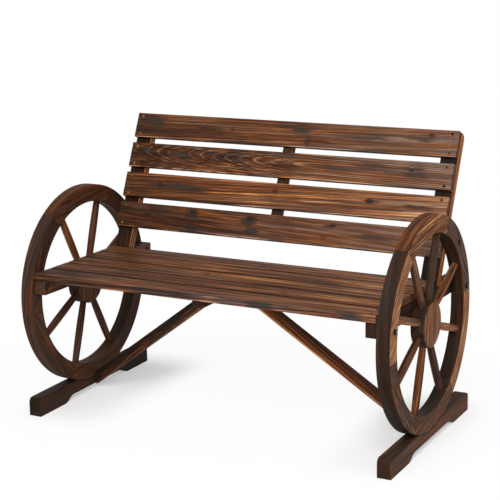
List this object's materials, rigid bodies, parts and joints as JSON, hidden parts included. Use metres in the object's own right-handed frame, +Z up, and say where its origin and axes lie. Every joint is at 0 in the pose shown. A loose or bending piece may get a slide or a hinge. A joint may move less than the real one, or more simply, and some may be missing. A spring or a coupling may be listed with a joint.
{
  "type": "wagon wheel bench",
  "caption": "Slatted garden bench with a leaning back, held between spoked wagon wheels that stand on runner skids.",
  "frame": {"origin": "on the floor, under the middle of the bench's outer box", "axes": "+X along the bench to the sitter's left, as seen from the front to the right; +Y from its front to its back; +Z up"},
  "size_m": [1.131, 0.6273, 0.8022],
  "materials": {
    "rim_wood": "scorched softwood, satin",
    "spoke_wood": "scorched softwood, satin",
    "hub_wood": "scorched softwood, satin",
    "skid_wood": "scorched softwood, satin",
    "seat_wood": "scorched softwood, satin",
    "back_wood": "scorched softwood, satin",
    "frame_wood": "scorched softwood, satin",
    "brace_wood": "scorched softwood, satin",
    "dowel_wood": "plain hardwood",
    "steel": "black zinc, satin",
    "zinc": "yellow zinc, satin"
  },
  "bodies": {
    "root": {"felloe_left_1": "rim_wood", "felloe_left_2": "rim_wood", "felloe_left_3": "rim_wood", "felloe_left_4": "rim_wood", "felloe_left_5": "rim_wood", "felloe_left_6": "rim_wood", "spoke_left_1": "spoke_wood", "spoke_left_2": "spoke_wood", "spoke_left_3": "spoke_wood", "spoke_left_4": "spoke_wood", "spoke_left_5": "spoke_wood", "spoke_left_6": "spoke_wood", "spoke_left_7": "spoke_wood", "spoke_left_8": "spoke_wood", "hub_left": "hub_wood", "skid_left": "skid_wood", "seat_rail_left": "frame_wood", "back_stile_left": "frame_wood", "brace_left": "brace_wood", "felloe_right_1": "rim_wood", "felloe_right_2": "rim_wood", "felloe_right_3": "rim_wood", "felloe_right_4": "rim_wood", "felloe_right_5": "rim_wood", "felloe_right_6": "rim_wood", "spoke_right_1": "spoke_wood", "spoke_right_2": "spoke_wood", "spoke_right_3": "spoke_wood", "spoke_right_4": "spoke_wood", "spoke_right_5": "spoke_wood", "spoke_right_6": "spoke_wood", "spoke_right_7": "spoke_wood", "spoke_right_8": "spoke_wood", "hub_right": "hub_wood", "skid_right": "skid_wood", "seat_rail_right": "frame_wood", "back_stile_right": "frame_wood", "brace_right": "brace_wood", "seat_slat_1": "seat_wood", "seat_slat_2": "seat_wood", "seat_slat_3": "seat_wood", "seat_slat_4": "seat_wood", "seat_slat_5": "seat_wood", "back_slat_1": "back_wood", "back_slat_2": "back_wood", "back_slat_3": "back_wood", "back_slat_4": "back_wood", "seat_batten": "frame_wood", "back_batten": "frame_wood", "felloe_dowels": "dowel_wood", "frame_bolts": "steel", "frame_washers": "steel", "frame_nuts": "steel", "foot_screws": "steel", "skid_screws": "steel", "brace_screws": "zinc", "batten_screws": "zinc", "seat_screws": "zinc", "back_screws": "zinc"}
  },
  "joints": []
}
